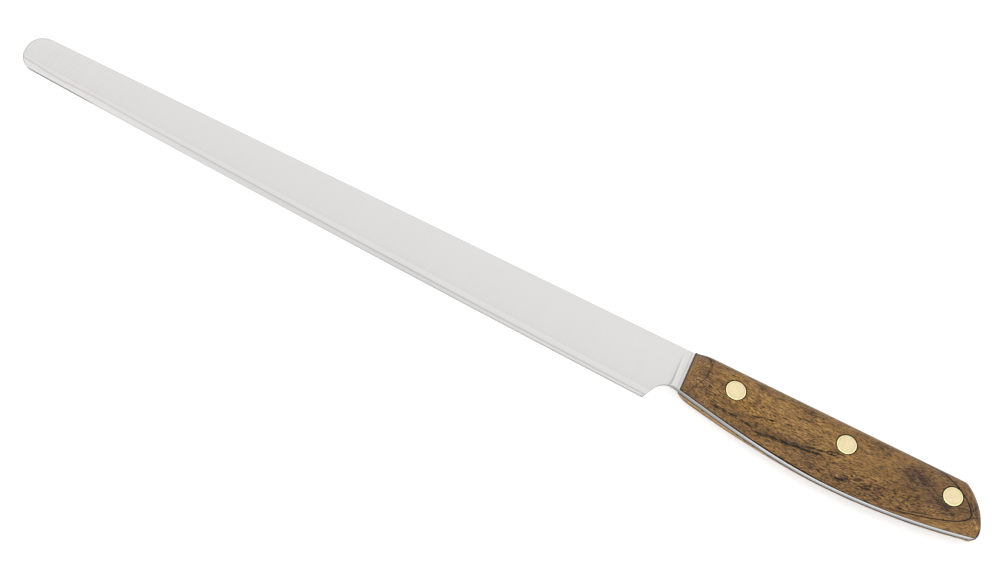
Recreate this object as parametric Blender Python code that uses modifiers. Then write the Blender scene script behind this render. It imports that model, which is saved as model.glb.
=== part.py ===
"""Ham slicing knife with a full tang.

One strip of stainless steel is both the blade and the tang. A wooden scale lies on each side of
the tang, and three two-piece brass rivets hold the three together: a post pressed into a sleeve.

All lengths are in metres. In the drawing, X runs from the tip to the butt with 0 at the front of
the handle, Y runs up to the spine with 0 on the spine, and Z is the thickness with 0 in the middle
of the steel. Depths are measured down from the spine. The knife lies on its side.
"""

import math

import bmesh
import bpy

# Steel strip
blade_length = 0.2500  # tip to heel
heel_to_handle = 0.0110
handle_length = 0.1181
steel_thickness = 0.0021

# Blade outline
tip_depth = 0.01455  # the cutting edge's line, carried on to the tip
heel_depth = 0.02535
edge_bow = 0.0008  # how far the cutting edge bulges from a straight line
tip_spine_radius = 0.0079
tip_edge_radius = 0.0059
tip_face_height = 0.0005  # least straight stretch between the tip's two radii
choil_radius = 0.0070
choil_angle = math.radians(66)  # rise of the heel's back face from the spine's direction
ricasso_depth = 0.01585

# Blade grind
heel_spine_thickness = 0.0020
tip_spine_thickness = 0.0012
bevel_height = 0.0020
bevel_thickness = 0.0005  # where the flat grind meets the edge bevel
edge_thickness = 0.0001
ricasso_length = 0.0038
plunge_length = 0.0006

# Handle outline
handle_front_depth = 0.01635
front_slope = 0.20
belly_place = 0.0610
belly_depth = 0.02495
rear_depth = 0.0179
rear_slope = -0.25
butt_start = 0.1068  # where the spine's line turns down into the butt
butt_corner_drop = 0.00016  # how much the rounded corner there takes off
butt_corner_reach = 0.0015
butt_radius = 0.0258
butt_face_height = 0.0021  # from the lower outline's line up to the butt's arc
front_corner = (0.0006, 0.0012)  # drop and reach of the front scale's lower corner at the butt
tang_corner = (0.0017, 0.0030)  # the same for the tang and the back scale, sanded rounder

# Handle section
handle_thickness = 0.0150
scale_wall = 0.0004  # upright rim of wood beside the tang
end_wall = 0.0009  # the same at the handle's front and butt
front_round = 0.0062
butt_round = 0.0075
upper_round = 0.0059
lower_round_front = 0.0035
lower_round_belly = 0.0100
lower_round_rear = 0.0080
lower_round_slope = 0.10  # how fast it widens from the front to the belly
least_land = 0.0004  # flat kept between the two roundings where the handle is low

# Rivets
rivet_places = {"front": 0.0180, "middle": 0.0618, "rear": 0.1038}
rivet_depth = 0.0101
rivet_head_diameter = 0.0075
rivet_head_thickness = 0.0030
rivet_head_chamfer = 0.00025
sleeve_diameter = 0.0050
post_diameter = 0.0028
sleeve_floor = 0.0020  # brass left between the bore and the head's face

# Clearances
bond_gap = 0.0003  # glue line between tang and scale
rivet_gap = 0.0003  # round each rivet and under its heads
press_gap = 0.0003  # between post and sleeve

# Facets
round_steps = 5
long_steps = 8
turned_steps = 48
least_step = 0.00005  # sections closer together than this are one section
smooth_angle = math.radians(30)

# Places that follow from the sizes
heel_x = -heel_to_handle
tip_x = heel_x - blade_length
plunge_x = -ricasso_length
tang_half = steel_thickness / 2
handle_half = handle_thickness / 2
scale_inner = tang_half + bond_gap
rivet_head_foot = handle_half - rivet_head_thickness
lowest_depth = max(heel_depth, belly_depth)


def new_collection(name):
    collection = bpy.data.collections.new(name)
    bpy.context.scene.collection.children.link(collection)
    return collection


for old in list(bpy.data.objects):
    bpy.data.objects.remove(old)
parts = new_collection("ham_knife")
cutters = new_collection("cutters")

# The knife lies with the middle of its box over the origin and the back scale on the ground
frame = bpy.data.objects.new("knife_frame", None)
frame.location = (-(tip_x + handle_length) / 2, lowest_depth / 2, handle_half)
parts.objects.link(frame)


def linear(channel):
    """Linear value of one sRGB channel, both from 0 to 1."""
    return channel / 12.92 if channel <= 0.04045 else ((channel + 0.055) / 1.055) ** 2.4


def material(name, colour, metallic, roughness):
    """Principled material from an sRGB hex colour."""
    made = bpy.data.materials.new(name)
    made.use_nodes = True
    shader = made.node_tree.nodes["Principled BSDF"]
    channels = [linear(int(colour[i : i + 2], 16) / 255) for i in (0, 2, 4)]
    shader.inputs["Base Color"].default_value = (*channels, 1)
    shader.inputs["Metallic"].default_value = metallic
    shader.inputs["Roughness"].default_value = roughness
    made.diffuse_color = (*channels, 1)
    return made


def steps(start, end, count):
    """Evenly spaced values from start to end, both included."""
    return [start + (end - start) * i / count for i in range(count + 1)]


def quarter_steps(start, reach):
    """Places along a quarter circle that begins square to X at start, closest together there."""
    return [start + reach * (1 - math.cos(angle)) for angle in steps(0, math.pi / 2, round_steps)]


def quarter_height(share):
    """Height of a unit quarter circle at a share of its width, from 0 at its foot to 1 on top."""
    return math.sqrt(max(0, 1 - (1 - min(share, 1)) ** 2))


def hermite(x, start, end):
    """Cubic through two (place, value, slope) points."""
    (x0, y0, slope0), (x1, y1, slope1) = start, end
    span = x1 - x0
    t = (x - x0) / span
    eased = t * t * (3 - 2 * t)
    return y0 + (y1 - y0) * eased + span * t * (1 - t) * (slope0 * (1 - t) - slope1 * t)


def edge_depth(x):
    """Depth of the cutting edge: a line from tip to heel, bowed outwards."""
    t = (x - tip_x) / blade_length
    return tip_depth + (heel_depth - tip_depth) * t + 4 * edge_bow * t * (1 - t)


# Depth of the centre of the rounding between tip and cutting edge
tip_edge_centre = edge_depth(tip_x + tip_edge_radius) - tip_edge_radius
tip_upper_radius = min(tip_spine_radius, tip_edge_centre - tip_face_height)


def butt_depth(x):
    """Depth of the butt's arc, from the spine's line to the top of the butt's face.

    Its corner with the spine is rounded, as the mean of the arc's depth and that depth's length
    across the corner's drop.
    """
    end_depth = rear_depth - butt_face_height
    run = handle_length - butt_start
    half_chord = math.hypot(run, end_depth) / 2
    to_centre = math.sqrt(max(0, butt_radius**2 - half_chord**2)) / (2 * half_chord)
    centre_x = butt_start + run / 2 - end_depth * to_centre
    centre_depth = end_depth / 2 + run * to_centre
    arc = centre_depth - math.sqrt(max(0, butt_radius**2 - (x - centre_x) ** 2))
    return (arc + math.hypot(arc, 2 * butt_corner_drop)) / 2


def upper_depth(x):
    """Depth of the upper outline: the tip's rounding, the straight spine, the butt."""
    if x < tip_x + tip_upper_radius:
        return tip_upper_radius * (1 - quarter_height((x - tip_x) / tip_upper_radius))
    if x > butt_start - butt_corner_reach:
        return butt_depth(x)
    return 0.0


def belly_line(x, corner):
    """Depth of the handle's lower outline. Its corner at the butt is sanded off along a parabola."""
    front = (0.0, handle_front_depth, front_slope)
    belly = (belly_place, belly_depth, 0.0)
    rear = (handle_length, rear_depth, rear_slope)
    line = hermite(x, front, belly) if x < belly_place else hermite(x, belly, rear)
    drop, reach = corner
    return line - drop * max(0, 1 - (handle_length - x) / reach) ** 2


# The choil: a leaning back face from the heel, then an arc that ends level with the ricasso
choil_top = ricasso_depth + choil_radius * (1 - math.cos(choil_angle))
choil_start = heel_x + (edge_depth(heel_x) - choil_top) / math.tan(choil_angle)
choil_end = choil_start + choil_radius * math.sin(choil_angle)


def choil_depth(x):
    """Depth of the lower outline between heel and handle."""
    if x < choil_start:
        return edge_depth(heel_x) - (x - heel_x) * math.tan(choil_angle)
    if x < choil_end:
        return ricasso_depth + choil_radius - math.sqrt(choil_radius**2 - (choil_end - x) ** 2)
    return ricasso_depth + (handle_front_depth - ricasso_depth) * (x - choil_end) / -choil_end


def lower_depth(x):
    """Depth of the steel's lower outline, from tip to butt."""
    if x < tip_x + tip_edge_radius:
        return tip_edge_centre + tip_edge_radius * quarter_height((x - tip_x) / tip_edge_radius)
    if x <= heel_x:
        return edge_depth(x)
    return choil_depth(x) if x < 0 else belly_line(x, tang_corner)


def ground_half(x, depth):
    """Half the thickness of the flat-ground blade, thinning from spine to edge and towards the tip."""
    along = (x - tip_x) / (plunge_x - tip_x)
    spine = (tip_spine_thickness + (heel_spine_thickness - tip_spine_thickness) * along) / 2
    down = depth / (edge_depth(x) - bevel_height)
    return spine + (bevel_thickness / 2 - spine) * down


def steel_section(x):
    """Half of the steel's section as (depth, half thickness) points, from the spine down."""
    top, bottom = upper_depth(x), lower_depth(x)
    middle = (top + bottom) / 2
    if x > plunge_x:
        return [(top, tang_half), (middle, tang_half), (bottom, tang_half)]
    if x > heel_x:
        return [(depth, ground_half(x, depth)) for depth in (top, middle, bottom)]
    line = max(middle, bottom - bevel_height)
    return [(top, ground_half(x, top)), (line, bevel_thickness / 2), (bottom, edge_thickness / 2)]


def rounding(width, height):
    """A rounding from a flat top down to an upright wall, as (outward, drop) points.

    Wider than it is high, it is one arc that leaves the flat smoothly and meets the wall at an
    angle. Otherwise it is a quarter of an ellipse.
    """
    if width > height:
        radius = (width**2 + height**2) / (2 * height)
        angles = steps(0, math.asin(width / radius), round_steps)
        return [(radius * math.sin(a), radius * (1 - math.cos(a))) for a in angles]
    angles = steps(0, math.pi / 2, round_steps)
    return [(width * math.sin(a), height * (1 - math.cos(a))) for a in angles]


def crown_height(x):
    """Height of the scale's flat land above the middle of the steel, falling at both ends."""
    foot = scale_inner + end_wall
    share = min(quarter_height(x / front_round), quarter_height((handle_length - x) / butt_round))
    return foot + (handle_half - foot) * share


def lower_round(x):
    """Width of the lower rounding: narrow at the front, widest at the belly."""
    front = (0.0, lower_round_front, lower_round_slope)
    belly = (belly_place, lower_round_belly, lower_round_slope)
    rear = (handle_length, lower_round_rear, 0.0)
    return hermite(x, front, belly) if x < belly_place else hermite(x, belly, rear)


def scale_section(x, corner):
    """Section of a scale as (depth, height) points, round from its upper inner corner."""
    top, bottom = upper_depth(x), belly_line(x, corner)
    wall = scale_inner + scale_wall
    crown = crown_height(x)
    shrink = min(1, (bottom - top - least_land) / (upper_round + lower_round(x)))
    upper = rounding(upper_round * shrink, crown - wall)
    lower = rounding(lower_round(x) * shrink, crown - wall)
    upper_edge = top + upper_round * shrink
    lower_edge = bottom - lower_round(x) * shrink
    return [
        (top, scale_inner),
        *((upper_edge - out, crown - drop) for out, drop in reversed(upper)),
        *((lower_edge + out, crown - drop) for out, drop in lower),
        (bottom, scale_inner),
    ]


def in_order(places):
    """Places from tip to butt, one for each group that nearly coincides."""
    kept = []
    for x in sorted(places):
        if not kept or x - kept[-1] > least_step:
            kept.append(x)
    return kept


def handle_stations():
    """Places along the handle where its sections are drawn."""
    front = quarter_steps(0.0, front_round)
    middle = steps(front_round, butt_start - butt_corner_reach, long_steps)
    turn = steps(butt_start - butt_corner_reach / 2, butt_start + butt_corner_reach, 3)
    butt = quarter_steps(handle_length, -butt_round)
    corner = quarter_steps(handle_length, -tang_corner[1])
    return in_order((*front, *middle, *turn, *butt, *corner))


def blade_stations():
    """Places along the blade and its choil where sections are drawn."""
    tip = [*quarter_steps(tip_x, tip_upper_radius), *quarter_steps(tip_x, tip_edge_radius)]
    edge = steps(tip_x + tip_upper_radius, heel_x, long_steps)
    choil = steps(choil_start, min(choil_end, plunge_x), round_steps)
    ricasso = [plunge_x, plunge_x + plunge_length, choil_end]
    return in_order(x for x in (*tip, *edge, *choil, *ricasso) if x < -least_step)


def new_object(name, mesh, finish, collection=parts):
    obj = bpy.data.objects.new(name, mesh)
    obj.data.materials.append(finish)
    obj.parent = frame
    collection.objects.link(obj)
    return obj


def loft(name, sections, finish):
    """Closed solid through sections, each an (x, points) pair with as many (depth, z) points."""
    shape = bmesh.new()
    rings = [[shape.verts.new((x, -depth, z)) for depth, z in points] for x, points in sections]
    for ring, following in zip(rings, rings[1:]):
        for i in range(len(ring)):
            shape.faces.new((ring[i - 1], ring[i], following[i], following[i - 1]))
    shape.faces.new(rings[0])
    shape.faces.new(reversed(rings[-1]))
    bmesh.ops.recalc_face_normals(shape, faces=shape.faces)
    mesh = bpy.data.meshes.new(name)
    shape.to_mesh(mesh)
    shape.free()
    mesh.shade_smooth()
    mesh.set_sharp_from_angle(angle=smooth_angle)
    return new_object(name, mesh, finish)


def turned(name, profile, finish, collection=parts):
    """Solid turned about Z from (radius, z) points that run from its top to its bottom."""
    mesh = bpy.data.meshes.new(name + "_profile")
    edges = [(i, i + 1) for i in range(len(profile) - 1)]
    mesh.from_pydata([(radius, 0, z) for radius, z in profile], edges, [])
    obj = new_object(name, mesh, finish, collection)
    screw = obj.modifiers.new("Turn", "SCREW")
    screw.steps = screw.render_steps = turned_steps
    screw.use_merge_vertices = True
    screw.merge_threshold = 0.00001
    depsgraph = bpy.context.evaluated_depsgraph_get()
    obj.data = bpy.data.meshes.new_from_object(obj.evaluated_get(depsgraph))
    obj.modifiers.clear()
    obj.data.name = name
    obj.data.set_sharp_from_angle(angle=smooth_angle)
    return obj


def cut(obj, cutter):
    boolean = obj.modifiers.new("Cut " + cutter.name, "BOOLEAN")
    boolean.operation = "DIFFERENCE"
    boolean.object = cutter
    cutter.hide_render = True
    cutter.display_type = "WIRE"


def turn_over(profile):
    """The same profile with its top at the bottom."""
    return [(radius, -z) for radius, z in reversed(profile)]


def rivet_head():
    """Profile of a chamfered head, from the middle of its face to its foot."""
    radius = rivet_head_diameter / 2
    return [
        (0, handle_half),
        (radius - rivet_head_chamfer, handle_half),
        (radius, handle_half - rivet_head_chamfer),
        (radius, rivet_head_foot),
    ]


def rivet_post():
    """Profile of the half that shows on the front: a head on a solid post."""
    post_end = -(handle_half - sleeve_floor - press_gap)
    post_radius = post_diameter / 2
    return rivet_head() + [(post_radius, rivet_head_foot), (post_radius, post_end), (0, post_end)]


def rivet_sleeve():
    """Profile of the half that shows on the back, here head up: a head on a bored sleeve."""
    sleeve_end = -(rivet_head_foot - press_gap)
    sleeve_radius = sleeve_diameter / 2
    bore_radius = post_diameter / 2 + press_gap
    bore_top = handle_half - sleeve_floor
    outside = [(sleeve_radius, rivet_head_foot), (sleeve_radius, sleeve_end)]
    bore = [(bore_radius, sleeve_end), (bore_radius, bore_top), (0, bore_top)]
    return rivet_head() + outside + bore


def rivet_hole():
    """Profile of the hole through tang and scales, with a seat for the head on each side."""
    beyond = handle_half + rivet_gap
    seat_radius = rivet_head_diameter / 2 + rivet_gap
    shank_radius = sleeve_diameter / 2 + rivet_gap
    seat_floor = rivet_head_foot - rivet_gap
    upper = [(0, beyond), (seat_radius, beyond), (seat_radius, seat_floor), (shank_radius, seat_floor)]
    return upper + turn_over(upper)


steel = material("ground stainless steel", "DEDDDB", 1.0, 0.35)
wood = material("oiled hardwood", "856D51", 0.0, 0.50)
brass = material("turned brass", "EFDFB6", 1.0, 0.30)

# Blade and tang
steel_sections = []
for x in blade_stations() + handle_stations():
    half_section = steel_section(x)
    other_half = [(depth, -half) for depth, half in reversed(half_section)]
    steel_sections.append((x, half_section + other_half))
blade = loft("blade_and_tang", steel_sections, steel)

# Scales
front_sections = [(x, scale_section(x, front_corner)) for x in handle_stations()]
back_sections = [(x, [(depth, -z) for depth, z in scale_section(x, tang_corner)]) for x in handle_stations()]
front_scale = loft("front_scale", front_sections, wood)
back_scale = loft("back_scale", back_sections, wood)

# Rivets and their holes
for place, x in rivet_places.items():
    post = turned("rivet_post_" + place, rivet_post(), brass)
    sleeve = turned("rivet_sleeve_" + place, turn_over(rivet_sleeve()), brass)
    hole = turned("rivet_hole_" + place, rivet_hole(), brass, cutters)
    for piece in (post, sleeve, hole):
        piece.location = (x, -rivet_depth, 0)
    for piece in (blade, front_scale, back_scale):
        cut(piece, hole)
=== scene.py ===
"""Looks of the ham slicing knife: finely ground blade, crowned hardwood scales, brass rivets.

Shapes are drawn in millimetres, as in the part's drawing: X runs from the tip to the butt with 0 at
the front of the handle, depths run down from the spine, Z is the thickness with 0 in the middle of
the steel. place() puts them into the frame, in metres. Outlines and main sizes are those of the
part, whose solids have wider gaps, a thicker edge and a plainer grind.
"""

import bmesh
import bpy
import numpy as np
from mathutils import Matrix


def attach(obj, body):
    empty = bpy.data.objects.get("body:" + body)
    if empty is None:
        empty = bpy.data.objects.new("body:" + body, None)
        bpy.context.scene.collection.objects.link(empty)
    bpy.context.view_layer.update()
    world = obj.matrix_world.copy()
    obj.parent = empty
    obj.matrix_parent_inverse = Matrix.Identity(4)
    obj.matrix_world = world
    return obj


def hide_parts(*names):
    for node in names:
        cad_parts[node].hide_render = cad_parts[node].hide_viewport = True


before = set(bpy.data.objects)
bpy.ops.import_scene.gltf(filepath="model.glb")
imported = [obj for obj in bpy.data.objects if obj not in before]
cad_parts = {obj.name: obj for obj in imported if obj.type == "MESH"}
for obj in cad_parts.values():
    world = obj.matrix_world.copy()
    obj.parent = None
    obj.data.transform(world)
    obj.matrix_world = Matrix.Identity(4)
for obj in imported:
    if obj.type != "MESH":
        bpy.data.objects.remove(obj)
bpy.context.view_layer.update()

# Steel strip and blade outline
blade_length = 250.0
heel_to_handle = 11.0
handle_length = 118.1
steel_thickness = 2.1
tip_depth = 14.55
heel_depth = 25.35
edge_bow = 0.8
tip_spine_radius = 7.9
tip_edge_radius = 5.9
tip_face_height = 0.5
choil_radius = 7.0
choil_angle = np.radians(66)
ricasso_depth = 15.85

# Blade grind
heel_spine_thickness = 2.0
tip_spine_thickness = 1.2
grind_height = 4.3  # from the edge up to where the flat grind ends
bevel_height_tip = 2.95
bevel_height_heel = 1.65
grind_end_thickness = 0.68
bevel_thickness = 0.50
edge_thickness = 0.05
burr_width = 0.30  # the step above the edge bevel
burr_drop = 0.03
bevel_wave = 0.45  # at the tip, from hand grinding
grind_bow = 0.4
plunge_place = -3.95
plunge_length = 0.75
plunge_lean = 0.32
plunge_knee = 13.0  # depth from which the plunge curls back
plunge_curl = 0.055
plunge_stations = (-4.8, -2.8)  # where the stations are closest together
corner_round = 0.12

# Handle outline
handle_front_depth = 16.35
front_slope = 0.20
belly_place = 61.0
belly_depth = 24.95
rear_depth = 17.9
rear_slope = -0.25
butt_start = 106.8
butt_corner_drop = 0.16  # how much the rounded corner with the spine takes off
butt_radius = 25.8
butt_face_height = 2.1
front_corner = (0.6, 1.2)  # drop and reach of the front scale's lower corner at the butt
tang_corner = (1.7, 3.0)  # the same for the tang and the back scale, sanded rounder

# Handle section
handle_thickness = 15.0
wall_height = 1.75  # above the middle of the steel
butt_wall_height = 1.15
wall_fall = 104.0  # where the wall begins to fall towards the butt
end_height = 2.25
front_round = 6.2
butt_round = 7.5
upper_round = 5.9
lower_round_front = 3.5
lower_round_belly = 10.0
lower_round_rear = 8.0
lower_round_slope = 0.10
least_land = 0.4
glue_line = 0.03
wood_below_heads = 0.05

# Rivets
rivet_places = {"front": 18.0, "middle": 61.8, "rear": 103.8}
rivet_depth = 10.1
head_radius = 3.75
head_thickness = 3.0
head_rim = 0.50
head_rim_drop = 0.30
sleeve_radius = 2.5
post_radius = 1.4
sleeve_floor = 2.0
press_gap = 0.05
seat_gap = 0.28

# Growth rings of the wood
ring_apex = 112.5
ring_depth = 14.3
front_ring_place = 6.7

# Places that follow from the sizes
heel_x = -heel_to_handle
tip_x = heel_x - blade_length
tang_half = steel_thickness / 2
handle_half = handle_thickness / 2
shift_x = -(tip_x + handle_length) / 2
frame_shift = np.array((shift_x, max(heel_depth, belly_depth) / 2, handle_half))


def place(points):
    """Row frame metres of (x, depth, z) millimetres: depth counts against Y."""
    return (points * (1, -1, 1) + frame_shift) / 1000


def drawn(points):
    """The (x, depth, z) millimetres of row frame metres: place() the other way."""
    return (points * 1000 - frame_shift) * (1, -1, 1)


def quarter_height(share):
    """Height of a unit quarter circle at a share of its width, from 0 at its foot to 1 on top."""
    return np.sqrt(np.clip(1 - (1 - np.clip(share, 0, 1)) ** 2, 0, 1))


def hermite(x, start, end):
    """Cubic through two (place, value, slope) points."""
    (x0, y0, slope0), (x1, y1, slope1) = start, end
    t = (x - x0) / (x1 - x0)
    eased = t * t * (3 - 2 * t)
    return y0 + (y1 - y0) * eased + (x1 - x0) * t * (1 - t) * (slope0 * (1 - t) - slope1 * t)


def along_handle(x, front, belly, rear):
    """A value along the handle from its (value, slope) at the front, the belly and the butt."""
    middle = (belly_place, *belly)
    to_belly = hermite(x, (0.0, *front), middle)
    return np.where(x < belly_place, to_belly, hermite(x, middle, (handle_length, *rear)))


def edge_depth(x):
    """Depth of the cutting edge: a line from tip to heel, bowed outwards as a parabola."""
    t = (x - tip_x) / blade_length
    return tip_depth + (heel_depth - tip_depth) * t + 4 * edge_bow * t * (1 - t)


tip_edge_centre = edge_depth(tip_x + tip_edge_radius) - tip_edge_radius
tip_upper_radius = min(tip_spine_radius, tip_edge_centre - tip_face_height)


def butt_depth(x):
    """Depth of the butt's arc, of butt_radius, through the spine's end and the top of the butt's
    face. Its corner with the spine is rounded: the mean of the depth and its length across the
    drop."""
    end_depth = rear_depth - butt_face_height
    run = handle_length - butt_start
    half_chord = np.hypot(run, end_depth) / 2
    to_centre = np.sqrt(butt_radius**2 - half_chord**2) / (2 * half_chord)
    centre_x = butt_start + run / 2 - end_depth * to_centre
    centre_depth = end_depth / 2 + run * to_centre
    arc = centre_depth - np.sqrt(np.clip(butt_radius**2 - (x - centre_x) ** 2, 0, None))
    return (arc + np.hypot(arc, 2 * butt_corner_drop)) / 2


def upper_depth(x):
    """Depth of the upper outline: quarter circle at the tip, straight spine, the butt's arc."""
    tip = tip_upper_radius * (1 - quarter_height((x - tip_x) / tip_upper_radius))
    blade = np.where(x < tip_x + tip_upper_radius, tip, 0.0)
    return np.where(x > butt_start - 5, butt_depth(x), blade)


def belly_line(x, corner=tang_corner):
    """Depth of the handle's lower outline: two cubics, with the butt's corner sanded off along a
    parabola."""
    front, rear = (handle_front_depth, front_slope), (rear_depth, rear_slope)
    line = along_handle(x, front, (belly_depth, 0.0), rear)
    drop, reach = corner
    return line - drop * np.clip(1 - (handle_length - x) / reach, 0, None) ** 2


choil_top = ricasso_depth + choil_radius * (1 - np.cos(choil_angle))
choil_start = heel_x + (edge_depth(heel_x) - choil_top) / np.tan(choil_angle)
choil_end = choil_start + choil_radius * np.sin(choil_angle)


def lower_depth(x):
    """Depth of the steel's lower outline: tip rounding, edge, leaning heel, choil arc, belly."""
    tip = tip_edge_centre + tip_edge_radius * quarter_height((x - tip_x) / tip_edge_radius)
    heel = edge_depth(heel_x) - (x - heel_x) * np.tan(choil_angle)
    arc = np.sqrt(np.clip(choil_radius**2 - (choil_end - x) ** 2, 0, None))
    choil = ricasso_depth + choil_radius - arc
    ricasso = ricasso_depth + (handle_front_depth - ricasso_depth) * (x - choil_end) / -choil_end
    places = [x < tip_x + tip_edge_radius, x <= heel_x, x < choil_start, x < choil_end, x < 0]
    return np.select(places, [tip, edge_depth(x), heel, choil, ricasso], belly_line(x))


def bevel_top(x):
    """Depth where the edge bevel begins: its height falls evenly to the heel, with a fading wave at
    the tip from hand grinding."""
    t = (x - tip_x) / blade_length
    wave = bevel_wave * np.cos(np.pi * t / 0.065) * np.exp(-((t / 0.12) ** 2))
    return edge_depth(x) - (bevel_height_tip + (bevel_height_heel - bevel_height_tip) * t + wave)


def grind_end(x):
    """Depth where the flat grind ends, a little above the edge bevel and bowed like the edge."""
    t = (x - tip_x) / blade_length
    return edge_depth(x) - grind_height - grind_bow * np.sin(np.pi * np.clip(t, 0, 1))


def plunge_line(depth):
    """Place of the plunge at a depth: it leans to the handle down to mid height, then curls back as
    far as the heel."""
    lean = plunge_lean * np.sin(np.clip(depth / plunge_knee, 0, 1) * np.pi / 2)
    curl = plunge_curl * np.clip(depth - plunge_knee, 0, None) ** 2
    return np.maximum(plunge_place + lean - curl, heel_x)


def steel_half(x, depth):
    """Half thickness of the steel: straight between spine, end of the flat grind, top of the edge
    bevel with its small step, and edge. At the plunge it rises to the tang along a parabola."""
    along = (x - tip_x) / (plunge_place - tip_x)
    spine = (tip_spine_thickness + (heel_spine_thickness - tip_spine_thickness) * along) / 2
    ends = (0 * depth, grind_end(x), bevel_top(x), bevel_top(x) + burr_width, edge_depth(x))
    bevel, edge = bevel_thickness / 2, edge_thickness / 2
    half = (spine, grind_end_thickness / 2, bevel, bevel - burr_drop, edge)
    ground = spine
    for i in range(len(ends) - 1):
        share = np.clip((depth - ends[i]) / (ends[i + 1] - ends[i]), 0, 1)
        ground = np.where(depth > ends[i], half[i] + (half[i + 1] - half[i]) * share, ground)
    rise = np.clip((x - plunge_line(depth)) / plunge_length, 0, 1) ** 2
    return ground + (tang_half - ground) * rise


def outward(line, x, side):
    """Unit normal (x, depth) of an outline, from its slope over a very short step."""
    step = 1e-4
    slope = (line(x + step) - line(x - step)) / (2 * step)
    length = np.hypot(slope, 1)
    return np.stack((-side * slope / length, side / length), -1)


def spread(start, end, count):
    """Evenly spaced numbers, with both ends."""
    return np.linspace(start, end, count)


def quarter_places(start, reach, count):
    """Places along a quarter circle that begins square to X at start, closest together there."""
    return start + reach * (1 - np.cos(spread(0, np.pi / 2, count)))


def in_order(*groups, least=0.012):
    """All places in order, without those that nearly coincide."""
    places = np.sort(np.concatenate(groups))
    return places[np.concatenate(([True], np.diff(places) > least))]


def made_mesh(name, patches, finish):
    """One closed piece of patches, grids of (x, depth, z) points, joined along their seams."""
    points, faces, first = [], [], 0
    for patch in patches:
        rows, columns = patch.shape[:2]
        index = first + np.arange(rows * columns).reshape(rows, columns)
        corners = (index[:-1, :-1], index[1:, :-1], index[1:, 1:], index[:-1, 1:])
        faces.append(np.stack(corners, -1).reshape(-1, 4))
        points.append(patch.reshape(-1, 3))
        first += rows * columns
    mesh = bpy.data.meshes.new(name)
    mesh.from_pydata(place(np.concatenate(points)), [], np.concatenate(faces).tolist())
    joined = bmesh.new()
    joined.from_mesh(mesh)
    bmesh.ops.remove_doubles(joined, verts=joined.verts, dist=2e-7)
    bmesh.ops.recalc_face_normals(joined, faces=joined.faces)
    joined.to_mesh(mesh)
    joined.free()
    piece = bpy.data.objects.new(name, mesh)
    bpy.context.scene.collection.objects.link(piece)
    mesh.materials.append(finish)
    return piece


def grid(x, depth, z):
    """Grid of points from three arrays that fit each other's shape."""
    return np.stack(np.broadcast_arrays(x, depth, z), -1)


def steel_patches():
    """Patches of blade and tang: two sides, and a rim with rounded corners all the way round.

    Each station has one line across each side, between the outlines set in by the corner's radius.
    The rim's points stand out from there by radius times sine, and drop by radius times one minus
    cosine, from one side round to the other.
    """
    tip = (quarter_places(tip_x, tip_upper_radius, 27), quarter_places(tip_x, tip_edge_radius, 19))
    blade = spread(tip_x + tip_upper_radius, heel_x, 130)
    first, last = plunge_stations
    choil = (spread(heel_x, choil_start, 12), spread(choil_start, first, 16))
    plunge = (spread(first, last, 36), spread(last, 0, 8))
    _, corner_reach = tang_corner
    handle = (spread(0, 100, 90), spread(100, handle_length - corner_reach, 50))
    corner = quarter_places(handle_length, -corner_reach, 18)
    x = in_order(*tip, blade, *choil, *plunge, *handle, corner)
    upper, lower = upper_depth(x), lower_depth(x)
    normals = outward(upper_depth, x, -1), outward(lower_depth, x, 1)
    rims = []
    for line, normal in zip((upper, lower), normals):
        radius = np.minimum(corner_round, 0.45 * steel_half(x, line))
        rims.append((np.stack((x, line), -1) - normal * radius[:, None], normal, radius))
    (top, *_), (bottom, *_) = rims
    reach = (bottom - top)[:, 1]
    ends = [(grind_end(x) - top[:, 1]) / reach, (bevel_top(x) - top[:, 1]) / reach]
    ends.append(ends[1] + burr_width / reach)
    ends = [np.minimum(end, limit) for end, limit in zip(ends, (0.94, 0.96, 0.98))]
    marks, counts = [0 * x, *ends, 0 * x + 1], (18, 3, 2, 4)
    rows = []
    for start, end, count in zip(marks, marks[1:], counts):
        rows.append(start[:, None] + (end - start)[:, None] * spread(0, 1, count + 1)[:-1])
    rows = np.concatenate((*rows, marks[-1][:, None]), 1)[:, :, None]
    side = top[:, None] + (bottom - top)[:, None] * rows
    half = steel_half(side[..., 0], side[..., 1])
    turns = spread(0, np.pi / 2, 5)

    def rim(inset, normal, radius, half):
        """The carried profile: a rounded corner, the flat, and the other corner."""
        out = radius[:, None] * np.sin(turns)
        z = half[:, None] - radius[:, None] * (1 - np.cos(turns))
        points = inset[:, None] + normal[:, None] * out[..., None]
        both = np.concatenate((points, points[:, ::-1]), 1)
        return grid(both[..., 0], both[..., 1], np.concatenate((z, -z[:, ::-1]), 1))

    patches = [grid(side[..., 0], side[..., 1], half), grid(side[..., 0], side[..., 1], -half)]
    patches.append(rim(*rims[0], half[:, 0]))
    patches.append(rim(*rims[1], half[:, -1]))
    for end in (0, -1):
        share = rows[end]
        radius = rims[0][2][end] + (rims[1][2][end] - rims[0][2][end]) * share[:, 0]
        normal = normals[0][end] + (normals[1][end] - normals[0][end]) * share
        normal /= np.linalg.norm(normal, axis=1, keepdims=True)
        patches.append(rim(side[end], normal, radius, half[end]))
    return patches


def rounding(width, height, share):
    """A rounding from a flat top to an upright wall, as (outward, drop) at a share of its turn.

    Wider than it is high, it is one arc that leaves the flat smoothly and meets the wall at an
    angle. Otherwise it is a quarter of an ellipse.
    """
    radius = (width**2 + height**2) / (2 * height)
    turn = share * np.arcsin(np.clip(width / radius, 0, 1))
    ellipse = share * np.pi / 2
    wide = width > height
    out = np.where(wide, radius * np.sin(turn), width * np.sin(ellipse))
    return out, np.where(wide, radius * (1 - np.cos(turn)), height * (1 - np.cos(ellipse)))


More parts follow.
